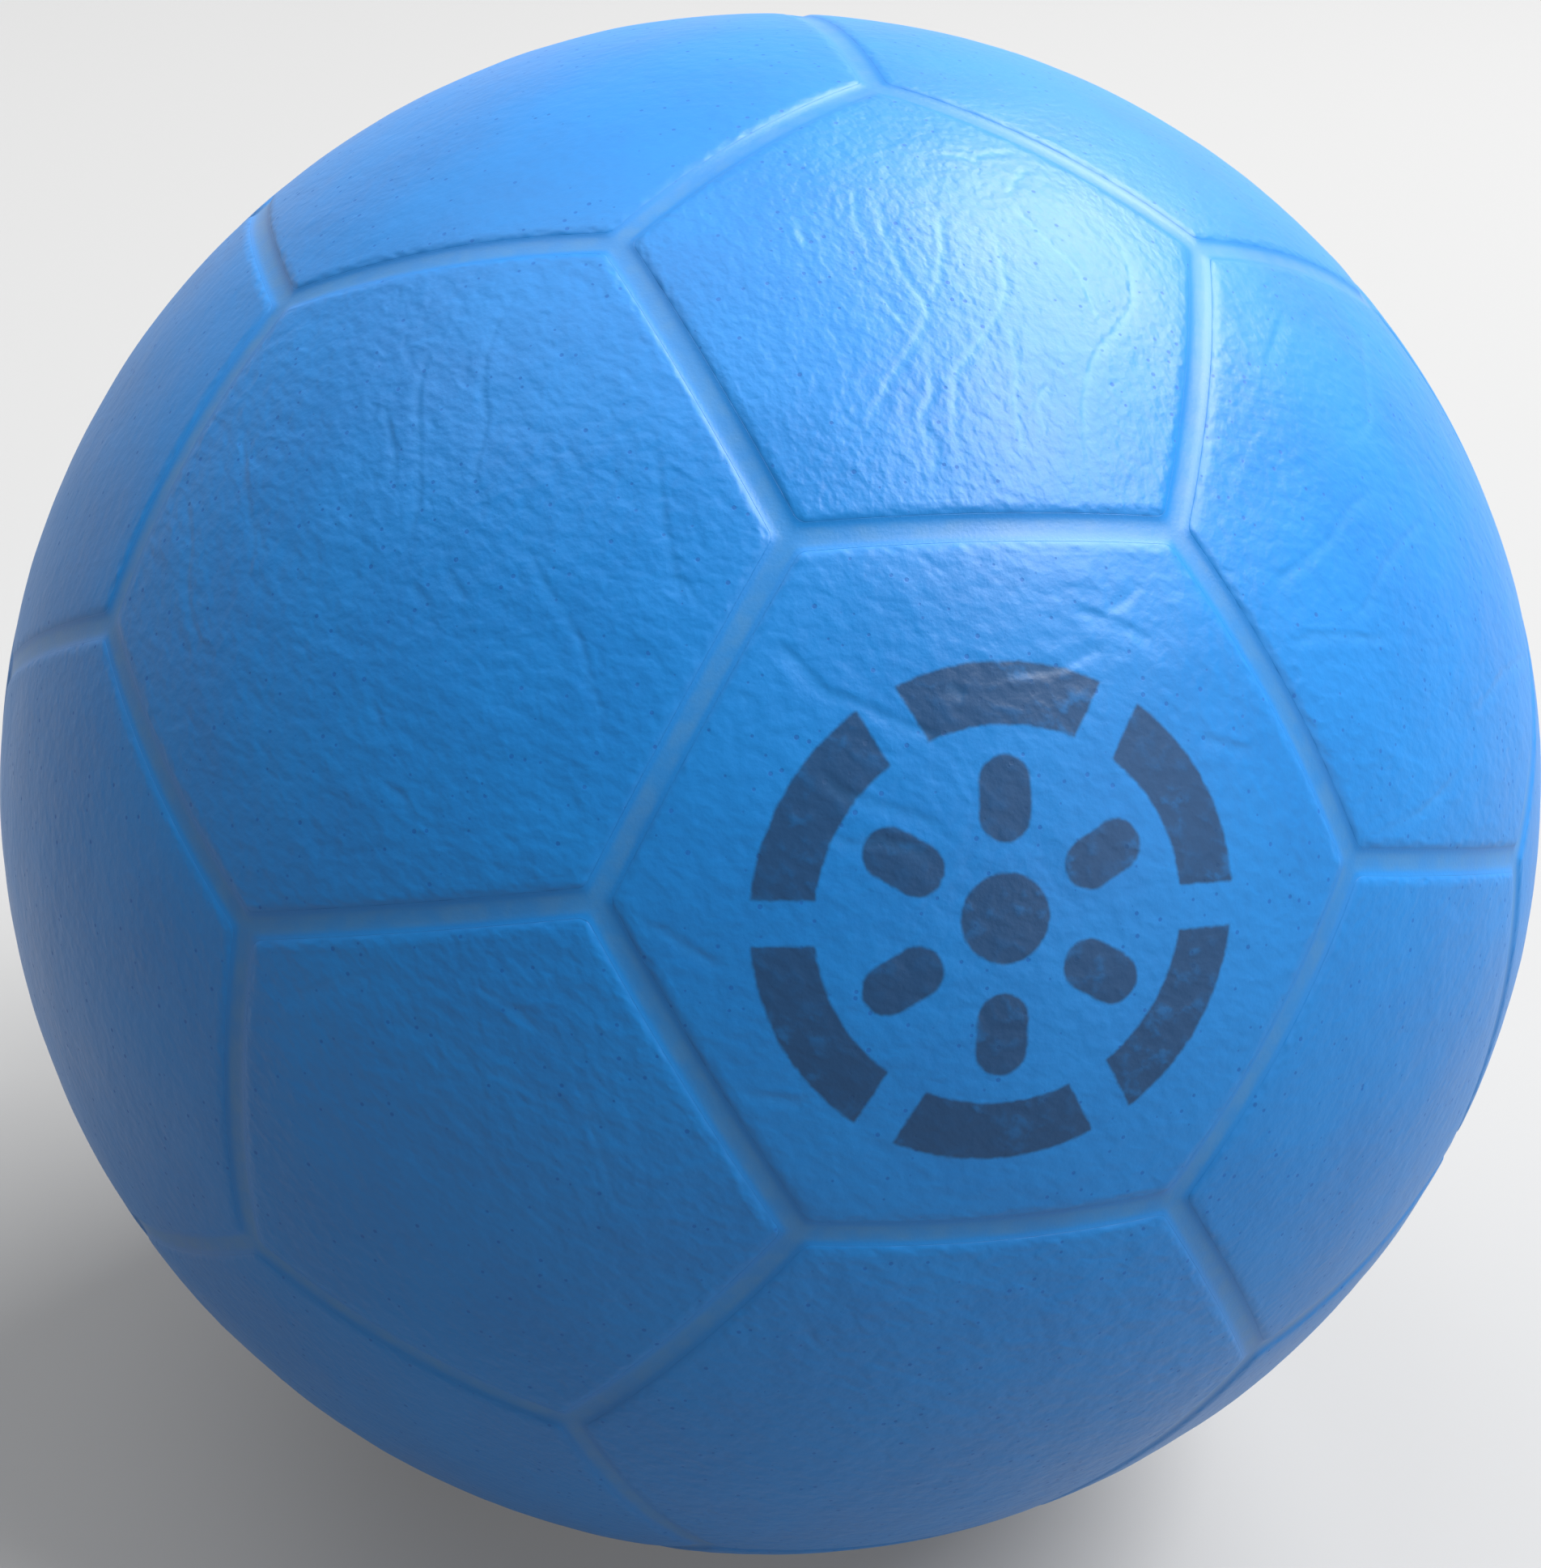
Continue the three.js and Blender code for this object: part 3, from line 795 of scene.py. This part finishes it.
class Nodes:
    """A material or world tree, with its nodes added and linked in one call each."""

    def __init__(self, owner):
        owner.use_nodes = True
        self.tree = owner.node_tree
        self.tree.nodes.clear()

    def put(self, socket, value):
        if isinstance(value, bpy.types.NodeSocket):
            self.tree.links.new(value, socket)
        else:
            socket.default_value = value

    def add(self, kind, inputs=None, **settings):
        node = self.tree.nodes.new("ShaderNode" + kind)
        for name, value in settings.items():
            setattr(node, name, value)
        for name, value in (inputs or {}).items():
            self.put(node.inputs[name], value)
        return node

    def math(self, operation, *values):
        return self.add("Math", dict(enumerate(values)), operation=operation).outputs[0]

    def vector(self, operation, inputs, output="Vector"):
        return self.add("VectorMath", inputs, operation=operation).outputs[output]

    def length(self, x, y):
        squares = [self.math("MULTIPLY", value, value) for value in (x, y)]
        return self.math("SQRT", self.math("ADD", *squares))

    def noise(self, vector, scale, detail=2.0, distortion=0.0):
        return self.add("TexNoise", {"Vector": vector, "Scale": scale, "Detail": detail,
                                     "Distortion": distortion}).outputs[0]

    def ramp(self, value, low, high, start=0.0, end=1.0):
        """Smooth step of a value from one range to another."""
        return self.add("MapRange", {"Value": value, "From Min": low, "From Max": high,
                                     "To Min": start, "To Max": end},
                        interpolation_type="SMOOTHSTEP").outputs[0]

    def mix(self, share, a, b):
        node = self.add("Mix", data_type="RGBA")
        for name, value in (("Factor_Float", share), ("A_Color", a), ("B_Color", b)):
            self.put(next(s for s in node.inputs if s.identifier == name), value)
        return next(s for s in node.outputs if s.identifier == "Result_Color")

    def bump(self, height, distance, normal=None):
        inputs = {"Height": height, "Distance": distance, "Strength": 1.0}
        if normal is not None:
            inputs["Normal"] = normal
        return self.add("Bump", inputs).outputs[0]

    def surface(self, shader):
        self.add("OutputMaterial", {"Surface": shader})

    def principled(self, colour, roughness, normal, specular):
        inputs = {"Base Color": colour, "Roughness": roughness, "Normal": normal}
        inputs["Specular IOR Level"] = specular
        self.surface(self.add("BsdfPrincipled", inputs).outputs[0])


# Colours, in pairs from dark to light where a material is uneven
SKIN = ((0.002, 0.146, 0.438, 1), (0.003, 0.166, 0.482, 1))
SKIN_FLECK = (0.004, 0.179, 0.508, 1)
# painted shade: the darker blue in the pores stands for the shade inside these small pits
PORE_SHADE_BLUE = (0.0005, 0.1, 0.36, 1)
CREASE_PALE_AND_HIGHLIGHT = (0.06, 0.26, 0.56, 1)  # folds turn paler: partly real whitening, partly a painted highlight
INK = (0.0005, 0.035, 0.107, 1)
DUST = (0.14, 0.24, 0.22, 1)
YARN = ((0.62, 0.58, 0.48, 1), (0.8, 0.77, 0.68, 1))
BLADDER_BLACK = ((0.010, 0.010, 0.011, 1), (0.02, 0.02, 0.021, 1))
VALVE_BODY_BLACK = ((0.012, 0.015, 0.02, 1), (0.02, 0.024, 0.03, 1))
VALVE_CORE_BLACK = ((0.02, 0.025, 0.034, 1), (0.034, 0.04, 0.05, 1))

# Scales of the noises, per metre, from broad to fine
BLOTCH_SCALE = 60.0
CROWD_SCALE = 75.0
WEAR_SCALE = 130.0
DUST_SCALE = 420.0
PORE_SCALE = 760.0
PEBBLE_SCALE = 850.0
DRIFT_SCALE = 900.0
FLECK_SCALE = 1500.0
RUBBER_SCALE = 2600.0
FINE_SCALE = 3200.0
INNER_FINENESS = 8  # the relief of an inner piece is this much finer than its colour
NOISE_SPAN = (0.3, 0.7)  # where most of a noise's values lie

# Heights of the fine relief
PEBBLE_HEIGHT = 0.14 * MM
FLECK_HEIGHT = 0.035 * MM
FINE_HEIGHT = 0.015 * MM
PORE_DEPTH = 0.012 * MM
RUBBER_HEIGHT = 0.02 * MM
INNER_HEIGHT = 0.04 * MM

# Gloss
SKIN_SPECULAR = 0.36
INNER_SPECULAR = 0.5
SKIN_ROUGHNESS = (0.4, 0.45)
RUBBER_ROUGHNESS = (0.38, 0.44)
PORE_ROUGHNESS = 0.15  # more than the skin round it
INNER_SPREAD = 0.05

# Flecks, pores and dust
FLECK_SPAN = (0.35, 0.7)
FLECK_COVER = 0.35
PORE_CHANCE = (0.6, 0.0)  # share of the cells without a pore, where pores are few and where they crowd
PORE_SIZE = 0.24  # radius of the largest pores, in cells
PORE_EDGE = 0.1  # softness of their edges, in cells
PORE_COVER = 0.9
DUST_TOP = 0.32 * MM  # depth at which the dust in the seams begins
DUST_COVER = (0.08, 0.2)

# Print on the front panel, about a pixel of the photograph: a broken ring round six bars and a dot
PRINT_MIDDLE_PX = (1243, 1135)
RING_RADIUS = 22 * MM
RING_HALF_WIDTH = 2.8 * MM
RING_HALF_GAP = 2 * MM
BAR_START = 10.2 * MM
BAR_END = 13.4 * MM
BAR_HALF_WIDTH = 2.4 * MM
DOT_RADIUS = 4.3 * MM
HALF_SECTOR = math.pi / 6  # half of the angle from bar to bar
INK_EDGE = 0.5 * MM
INK_DRIFT = 0.22 * MM  # raggedness of the print's edges
INK_COVER = 0.95
STREAK_SPAN = (0.48, 0.72)
WEAR_SPAN = (0.35, 0.68)
WEAR_COVER = (0.06, 0.36)  # of the streaks in which the ink is worn, where wear is least and most


def dusty(nodes, place, colour):
    """A colour with the dust that lies at the bottom of the seams."""
    distance = nodes.vector("LENGTH", {0: place}, "Value")
    deep = nodes.ramp(distance, BALL_RADIUS - DUST_TOP, BALL_RADIUS - SEAM_DEPTH)
    cloud = nodes.ramp(nodes.noise(place, DUST_SCALE, detail=5.0), *NOISE_SPAN, *DUST_COVER)
    return nodes.mix(nodes.math("MULTIPLY", deep, cloud), colour, DUST)


def print_mask(nodes, place):
    """One on the print's shapes, nought beside them."""
    middle = on_ball([PRINT_MIDDLE_PX])[0]
    across = tangent(middle, RIGHT)
    rise = np.cross(middle, across)
    drift = nodes.add("TexNoise", {"Vector": place, "Scale": DRIFT_SCALE, "Detail": 3.0}).outputs["Color"]
    drift = nodes.vector("SUBTRACT", {0: drift, 1: (0.5, 0.5, 0.5)})
    drift = nodes.vector("SCALE", {0: drift, "Scale": 2 * INK_DRIFT})
    place = nodes.vector("ADD", {0: place, 1: drift})
    x, y = (nodes.vector("DOT_PRODUCT", {0: place, 1: tuple(axis)}, "Value") for axis in (across, rise))
    radius = nodes.length(x, y)
    fold = nodes.math("PINGPONG", nodes.math("ARCTAN2", x, y), HALF_SECTOR)
    along = nodes.math("MULTIPLY", radius, nodes.math("COSINE", fold))
    side = nodes.math("MULTIPLY", radius, nodes.math("SINE", fold))
    off_ring = nodes.math("ABSOLUTE", nodes.math("SUBTRACT", radius, RING_RADIUS))
    gap = nodes.math("SUBTRACT", nodes.math("MULTIPLY", along, math.sin(HALF_SECTOR)),
                     nodes.math("MULTIPLY", side, math.cos(HALF_SECTOR)))
    ring = nodes.math("MULTIPLY", nodes.ramp(off_ring, RING_HALF_WIDTH + INK_EDGE, RING_HALF_WIDTH),
                      nodes.ramp(gap, RING_HALF_GAP, RING_HALF_GAP + INK_EDGE))
    beyond = nodes.math("MAXIMUM", nodes.math("SUBTRACT", BAR_START, along),
                        nodes.math("SUBTRACT", along, BAR_END))
    off_bar = nodes.length(nodes.math("MAXIMUM", beyond, 0.0), side)
    bar = nodes.ramp(off_bar, BAR_HALF_WIDTH + INK_EDGE, BAR_HALF_WIDTH)
    dot = nodes.ramp(radius, DOT_RADIUS + INK_EDGE, DOT_RADIUS)
    return nodes.math("MAXIMUM", ring, nodes.math("MAXIMUM", bar, dot))


def panel_skin(name, printed=False):
    """Blue leathery skin: soft grain, small pores with painted shade and slightly uneven colour."""
    material = bpy.data.materials.new(name)
    nodes = Nodes(material)
    place = nodes.add("TexCoord").outputs["Object"]
    grain = nodes.add("Attribute", attribute_name="grain_space").outputs["Vector"]
    strength = nodes.add("Attribute", attribute_name="grain_height").outputs["Fac"]
    pebble = nodes.noise(grain, PEBBLE_SCALE, detail=0.8, distortion=0.2)
    fleck = nodes.noise(grain, FLECK_SCALE, detail=1.0)
    fine = nodes.noise(place, FINE_SCALE, detail=1.0)
    blotch = nodes.noise(place, BLOTCH_SCALE, detail=3.0)
    crowd = nodes.ramp(nodes.noise(place, CROWD_SCALE), *NOISE_SPAN, *PORE_CHANCE)
    cells = nodes.add("TexVoronoi", {"Vector": place, "Scale": PORE_SCALE}).outputs
    chance = nodes.add("SeparateColor", {"Color": cells["Color"]}).outputs["Red"]
    pore_size = nodes.ramp(chance, crowd, 1.0, 0.0, PORE_SIZE)
    within = nodes.math("SUBTRACT", pore_size, cells["Distance"])
    pore = nodes.ramp(within, 0.0, PORE_EDGE, 0.0, PORE_COVER)
    colour = nodes.mix(nodes.ramp(blotch, *NOISE_SPAN), *SKIN)
    colour = nodes.mix(nodes.ramp(fleck, *FLECK_SPAN, 0.0, FLECK_COVER), colour, SKIN_FLECK)
    # Painted shade: the pores are darkened where the shade inside them would fall.
    colour = nodes.mix(pore, colour, PORE_SHADE_BLUE)
    colour = dusty(nodes, place, colour)
    if printed:
        streak = nodes.ramp(nodes.noise(grain, PEBBLE_SCALE, detail=3.0, distortion=0.2), *STREAK_SPAN)
        patch = nodes.ramp(nodes.noise(place, WEAR_SCALE), *WEAR_SPAN, *WEAR_COVER)
        kept = nodes.math("SUBTRACT", INK_COVER, nodes.math("MULTIPLY", streak, patch))
        colour = nodes.mix(nodes.math("MULTIPLY", print_mask(nodes, place), kept), colour, INK)
    # Crease lines turn paler: partly real fold whitening, partly a painted highlight along them.
    whitening_and_highlight = nodes.add("Attribute", attribute_name="crease_whitening_and_highlight").outputs["Fac"]
    colour = nodes.mix(whitening_and_highlight, colour, CREASE_PALE_AND_HIGHLIGHT)
    coarse = nodes.math("MULTIPLY", nodes.math("SUBTRACT", pebble, 0.5), strength)
    small = nodes.math("MULTIPLY", nodes.math("SUBTRACT", fleck, 0.5), strength)
    normal = nodes.bump(coarse, PEBBLE_HEIGHT)
    normal = nodes.bump(small, FLECK_HEIGHT, normal)
    normal = nodes.bump(fine, FINE_HEIGHT, normal)
    normal = nodes.bump(nodes.math("SUBTRACT", 1.0, pore), PORE_DEPTH, normal)
    roughness = nodes.ramp(blotch, *NOISE_SPAN, *SKIN_ROUGHNESS)
    roughness = nodes.math("MULTIPLY_ADD", pore, PORE_ROUGHNESS, roughness)
    nodes.principled(colour, roughness, normal, SKIN_SPECULAR)
    return material


def carcass_rubber():
    """Smooth blue rubber with dust at the bottom of the seams."""
    material = bpy.data.materials.new("carcass_rubber")
    nodes = Nodes(material)
    place = nodes.add("TexCoord").outputs["Object"]
    blotch = nodes.noise(place, BLOTCH_SCALE, detail=3.0)
    colour = dusty(nodes, place, nodes.mix(nodes.ramp(blotch, *NOISE_SPAN), *SKIN))
    normal = nodes.bump(nodes.noise(place, RUBBER_SCALE), RUBBER_HEIGHT)
    roughness = nodes.ramp(blotch, *NOISE_SPAN, *RUBBER_ROUGHNESS)
    nodes.principled(colour, roughness, normal, SKIN_SPECULAR)
    return material


def inner_material(name, colours, scale, roughness):
    """Matt rubber or yarn with uneven colour."""
    material = bpy.data.materials.new(name)
    nodes = Nodes(material)
    place = nodes.add("TexCoord").outputs["Object"]
    cloud = nodes.noise(place, scale, detail=4.0)
    colour = nodes.mix(nodes.ramp(cloud, *NOISE_SPAN), *colours)
    normal = nodes.bump(nodes.noise(place, scale * INNER_FINENESS), INNER_HEIGHT)
    spread = nodes.ramp(cloud, *NOISE_SPAN, roughness - INNER_SPREAD, roughness + INNER_SPREAD)
    nodes.principled(colour, spread, normal, INNER_SPECULAR)
    return material


# Stage

# Lamps: direction from the ball, size and power
LAMP_DISTANCE = 4.0
LAMPS = {
    "key": ((0.49, 0.28, 0.82), 2.1, 208.0),
    "front_key": ((0.44, -0.28, 0.85), 2.0, 202.0),
    "top_fill": ((-0.33, 0.2, 0.92), 3.2, 76.0),
    "low_fill": ((0.58, -0.8, 0.17), 2.7, 34.0),
}
WHITE = (1, 1, 1, 1)
WORLD_FILL = 0.07
WORLD_SHOWN = 1.0
FLOOR_REACH = 30.0
FLOOR_STRAY = (0.25, 0.25, 0.26, 1)  # colour of the light that the floor throws on the ball
FLOOR_PALE = (0.3, 0.3, 0.3, 1)  # its own colour, where it is seen
FLOOR_GLOW = 0.12
FAR_GLOW = 0.82
FAR_FADE = (0.9, 3.5)  # metres from the ball over which the floor turns into an even backdrop


def add_lamp(name, direction, size, power):
    data = bpy.data.lights.new(name, "AREA")
    data.size = size
    data.energy = power
    lamp = bpy.data.objects.new(name, data)
    toward = Vector(direction).normalized()
    lamp.location = toward * LAMP_DISTANCE
    lamp.rotation_mode = "QUATERNION"
    lamp.rotation_quaternion = toward.to_track_quat("Z", "Y")
    bpy.context.scene.collection.objects.link(lamp)


def seen_directly(nodes):
    """One for rays that show a thing itself or its reflection, nought for its stray light."""
    path = nodes.add("LightPath").outputs
    shown = nodes.math("MAXIMUM", path["Is Camera Ray"], path["Is Glossy Ray"])
    return nodes.math("MAXIMUM", shown, path["Is Transmission Ray"])


def add_world():
    """White where it is seen, and a weak fill on the ball."""
    world = bpy.data.worlds.new("studio")
    bpy.context.scene.world = world
    nodes = Nodes(world)
    seen = seen_directly(nodes)
    fill = nodes.add("Background", {"Color": WHITE, "Strength": WORLD_FILL})
    shown = nodes.add("Background", {"Color": WHITE, "Strength": WORLD_SHOWN})
    shader = nodes.add("MixShader", {0: seen, 1: fill.outputs[0], 2: shown.outputs[0]})
    nodes.add("OutputWorld", {"Surface": shader.outputs[0]})


def floor_material():
    """Plain and pale, and even far from the ball."""
    material = bpy.data.materials.new("floor")
    nodes = Nodes(material)
    stray = nodes.add("BsdfDiffuse", {"Color": FLOOR_STRAY}).outputs[0]
    pale = nodes.add("BsdfDiffuse", {"Color": FLOOR_PALE}).outputs[0]
    glow = nodes.add("Emission", {"Color": WHITE, "Strength": FLOOR_GLOW}).outputs[0]
    near = nodes.add("AddShader", {0: pale, 1: glow}).outputs[0]
    far = nodes.add("Emission", {"Color": WHITE, "Strength": FAR_GLOW}).outputs[0]
    distance = nodes.vector("LENGTH", {0: nodes.add("TexCoord").outputs["Object"]}, "Value")
    fade = nodes.ramp(distance, *FAR_FADE)
    shown = nodes.add("MixShader", {0: fade, 1: near, 2: far}).outputs[0]
    nodes.surface(nodes.add("MixShader", {0: seen_directly(nodes), 1: stray, 2: shown}).outputs[0])
    return material


def add_floor():
    mesh = bpy.data.meshes.new("floor")
    corners = [(-1, -1), (1, -1), (1, 1), (-1, 1)]
    mesh.from_pydata([(x * FLOOR_REACH, y * FLOOR_REACH, 0) for x, y in corners], [], [(0, 1, 2, 3)])
    mesh.materials.append(floor_material())
    floor = bpy.data.objects.new("floor", mesh)
    floor.location.z = min(cad_box[0].z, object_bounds()[0].z)
    bpy.context.scene.collection.objects.link(floor)


# Assembly


def node_of(outline):
    """The CAD panel whose middle lies in an outline's direction."""
    def facing(name):
        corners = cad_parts[name].data.vertices
        return unit(np.array([v.co for v in corners]).mean(0)) @ outline.middle

    return max((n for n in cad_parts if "_panel_" in n), key=facing)


def panel_at(choices, pixel):
    return nearest(choices, on_ball([pixel])[0])


add_camera()
front_hexagon = panel_at(hexagons, FRONT_HEXAGON_PX)
skin = panel_skin("panel_skin")
printed_skin = panel_skin("printed_skin", printed=True)
in_view = {
    panel_at(pentagons, TOP_PENTAGON_PX): dict(
        # the top pentagon lies in the highlight, and its creases get the most painted highlight
        run=UP - 0.35 * RIGHT, strength=0.85, fineness=1.05, whitening_and_highlight=0.36,
        creases=photo_creases(TOP_PENTAGON_CREASES, depth=0.9, width=1.1),
    ),
    panel_at(hexagons, LEFT_HEXAGON_PX): dict(
        run=RIGHT - 0.6 * UP, strength=1.1, fineness=0.75,
        creases=photo_creases(LEFT_HEXAGON_CREASES, depth=0.9, width=1.2, lean=RIGHT_STEEP),
    ),
    front_hexagon: dict(
        run=RIGHT - 0.6 * UP, strength=0.9, fineness=0.7,
        creases=photo_creases(FRONT_HEXAGON_CREASES, depth=1.5, width=1.6, lean=RIGHT_STEEP),
    ),
    panel_at(hexagons, RIGHT_HEXAGON_PX): dict(
        run=RIGHT, strength=1.0, fineness=0.75, whitening_and_highlight=0.1,
        creases=photo_creases(RIGHT_HEXAGON_CREASES, depth=1.05, width=1.5),
    ),
    panel_at(pentagons, LOWER_PENTAGON_PX): dict(
        run=RIGHT - UP, strength=1.3, fineness=0.75,
        creases=photo_creases(LOWER_PENTAGON_CREASES, depth=0.8, width=1.4),
    ),
    panel_at(hexagons, BOTTOM_HEXAGON_PX): dict(
        run=RIGHT - UP, strength=1.3, fineness=0.75,
        creases=photo_creases(BOTTOM_HEXAGON_CREASES, depth=0.8, width=1.4),
    ),
    panel_at(hexagons, TOP_HEXAGON_PX): dict(run=RIGHT, strength=0.5, fineness=0.9),
    panel_at(pentagons, RIGHT_PENTAGON_PX): dict(run=RIGHT + UP, strength=0.7, fineness=0.9),
    panel_at(pentagons, LEFT_PENTAGON_PX): dict(run=RIGHT + UP, strength=0.5, fineness=0.9),
    panel_at(hexagons, LOW_LEFT_HEXAGON_PX): dict(run=UP, strength=0.6, fineness=0.9),
}
for panel in outlines:
    if panel in in_view:
        grain, step = Grain(panel, **in_view[panel]), VIEW_STEP
    else:
        grain, step = Grain(panel), GRID_STEP
        grain.creases = random_creases(panel, grain)
    make_panel(panel, grain, step, printed_skin if panel is front_hexagon else skin, node_of(panel))

make_carcass(carcass_rubber())
make_layer("winding_layer", WINDING_OUTSIDE, WINDING_INSIDE,
           inner_material("winding_yarn", YARN, scale=400.0, roughness=0.85),
           "winding_yarn", "thread_winding")
make_layer("bladder_layer", BLADDER_OUTSIDE, BLADDER_INSIDE,
           inner_material("bladder_rubber", BLADDER_BLACK, scale=90.0, roughness=0.5),
           "bladder_rubber", "bladder")
make_valve(
    inner_material("valve_body_rubber", VALVE_BODY_BLACK, scale=300.0, roughness=0.6),
    inner_material("valve_core_rubber", VALVE_CORE_BLACK, scale=300.0, roughness=0.55),
)

add_world()
add_floor()
for name, lamp in LAMPS.items():
    add_lamp(name, *lamp)
bpy.context.scene.view_settings.view_transform = "Standard"
